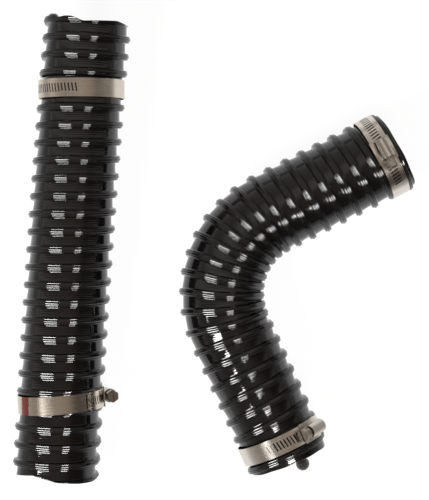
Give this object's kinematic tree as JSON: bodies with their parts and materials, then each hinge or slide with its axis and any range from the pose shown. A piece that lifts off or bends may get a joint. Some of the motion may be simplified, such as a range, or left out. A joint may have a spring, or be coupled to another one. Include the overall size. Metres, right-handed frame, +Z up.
{
  "type": "sewer hose kit",
  "caption": "Ribbed drain hoses, one straight and one set to a bend, with worm-drive band clamps for pipe fittings.",
  "frame": {"origin": "middle of the kit's box, on the floor that it lies on", "axes": "+Z up from the floor, +Y along the straight hose towards its upper end, +X towards the bent hose's open side"},
  "size_m": [0.4027, 0.4698, 0.1022],
  "materials": {
    "hose_vinyl": "glossy black vinyl",
    "cap_vinyl": "satin black vinyl",
    "band_steel": "satin stainless strip",
    "housing_steel": "pressed stainless sheet",
    "screw_steel": "plated steel",
    "wire_steel": "drawn spring wire"
  },
  "bodies": {
    "hose_middles": {"straight_hose_middle": "hose_vinyl", "bent_hose_middle": "hose_vinyl"},
    "straight_upper_arm": {"straight_hose_upper": "hose_vinyl", "clamp_1_band": "band_steel", "clamp_1_saddle": "band_steel", "clamp_1_housing": "housing_steel"},
    "straight_lower_arm": {"straight_hose_lower": "hose_vinyl", "clamp_2_band": "band_steel", "clamp_2_saddle": "band_steel", "clamp_2_housing": "housing_steel"},
    "bent_upper_arm": {"bent_hose_upper": "hose_vinyl", "clamp_3_band": "band_steel", "clamp_3_saddle": "band_steel", "clamp_3_housing": "housing_steel"},
    "bent_lower_arm": {"bent_hose_lower": "hose_vinyl", "bent_hose_wire_end": "wire_steel", "bent_hose_wire_cap": "cap_vinyl", "clamp_4_band": "band_steel", "clamp_4_saddle": "band_steel", "clamp_4_housing": "housing_steel"},
    "clamp_1_worm": {"clamp_1_screw": "screw_steel"},
    "clamp_1_strip": {"clamp_1_tail": "band_steel"},
    "clamp_2_worm": {"clamp_2_screw": "screw_steel"},
    "clamp_2_strip": {"clamp_2_tail": "band_steel"},
    "clamp_3_worm": {"clamp_3_screw": "screw_steel"},
    "clamp_3_strip": {"clamp_3_tail": "band_steel"},
    "clamp_4_worm": {"clamp_4_screw": "screw_steel"},
    "clamp_4_strip": {"clamp_4_tail": "band_steel"}
  },
  "joints": [
    {"name": "straight_hose_bend", "type": "hinge", "parent": "hose_middles", "child": "straight_upper_arm", "pos_m": [-0.13822, 0.04947, 0.05246], "axis": [-0.0025, -0.0343, 0.9994], "range_deg": [0, 45], "deforming": ["straight_hose_middle"]},
    {"name": "straight_hose_bend_lower", "type": "hinge", "parent": "hose_middles", "child": "straight_lower_arm", "pos_m": [-0.1451, -0.04647, 0.04914], "axis": [-0.0025, -0.0343, 0.9994], "range_deg": [-45, 0], "deforming": ["straight_hose_middle"]},
    {"name": "bent_hose_straighten", "type": "hinge", "parent": "hose_middles", "child": "bent_upper_arm", "pos_m": [0.03065, 0.01595, 0.043], "axis": [0, 0, 1], "range_deg": [-6, 44], "deforming": ["bent_hose_middle"]},
    {"name": "bent_hose_straighten_lower", "type": "hinge", "parent": "hose_middles", "child": "bent_lower_arm", "pos_m": [0.00864, -0.04706, 0.043], "axis": [0, 0, 1], "range_deg": [-44, 6], "deforming": ["bent_hose_middle"]},
    {"name": "clamp_1_tighten", "type": "hinge", "parent": "straight_upper_arm", "child": "clamp_1_worm", "pos_m": [-0.13028, 0.1602, 0.00685], "axis": [-1, 0, -0.0025], "range_deg": [-2160, 720]},
    {"name": "clamp_1_tail_slide", "type": "hinge", "parent": "straight_upper_arm", "child": "clamp_1_strip", "pos_m": [-0.13041, 0.1585, 0.05622], "axis": [0, -0.9994, -0.0343], "range_deg": [-29, 9.7]},
    {"name": "clamp_2_tighten", "type": "hinge", "parent": "straight_lower_arm", "child": "clamp_2_worm", "pos_m": [-0.10647, -0.14599, 0.02902], "axis": [-0.3387, 0.0066, -0.9409], "range_deg": [-2160, 720]},
    {"name": "clamp_2_tail_slide", "type": "hinge", "parent": "straight_lower_arm", "child": "clamp_2_strip", "pos_m": [-0.15252, -0.15002, 0.04557], "axis": [0.075, -0.9966, -0.034], "range_deg": [-29, 9.7]},
    {"name": "clamp_3_tighten", "type": "hinge", "parent": "bent_upper_arm", "child": "clamp_3_worm", "pos_m": [0.16547, 0.09763, 0.09208], "axis": [-0.4637, 0.8787, -0.1132], "range_deg": [-2160, 720]},
    {"name": "clamp_3_tail_slide", "type": "hinge", "parent": "bent_upper_arm", "child": "clamp_3_strip", "pos_m": [0.16808, 0.09268, 0.043], "axis": [0.8844, 0.4667, 0], "range_deg": [-29, 9.7]},
    {"name": "clamp_4_tighten", "type": "hinge", "parent": "bent_lower_arm", "child": "clamp_4_worm", "pos_m": [0.09912, -0.1745, 0.07732], "axis": [0.6313, 0.2898, -0.7193], "range_deg": [-2160, 720]},
    {"name": "clamp_4_tail_slide", "type": "hinge", "parent": "bent_lower_arm", "child": "clamp_4_strip", "pos_m": [0.06682, -0.18932, 0.043], "axis": [0.4172, -0.9088, 0], "range_deg": [-29, 9.7]}
  ],
  "couplings": [
    {"joint": "straight_hose_bend_lower", "follows": "straight_hose_bend", "ratio": -1},
    {"joint": "bent_hose_straighten_lower", "follows": "bent_hose_straighten", "ratio": -1},
    {"joint": "clamp_1_tail_slide", "follows": "clamp_1_tighten", "ratio": 0.013278},
    {"joint": "clamp_2_tail_slide", "follows": "clamp_2_tighten", "ratio": 0.013371},
    {"joint": "clamp_3_tail_slide", "follows": "clamp_3_tighten", "ratio": 0.013278},
    {"joint": "clamp_4_tail_slide", "follows": "clamp_4_tighten", "ratio": 0.013278}
  ]
}
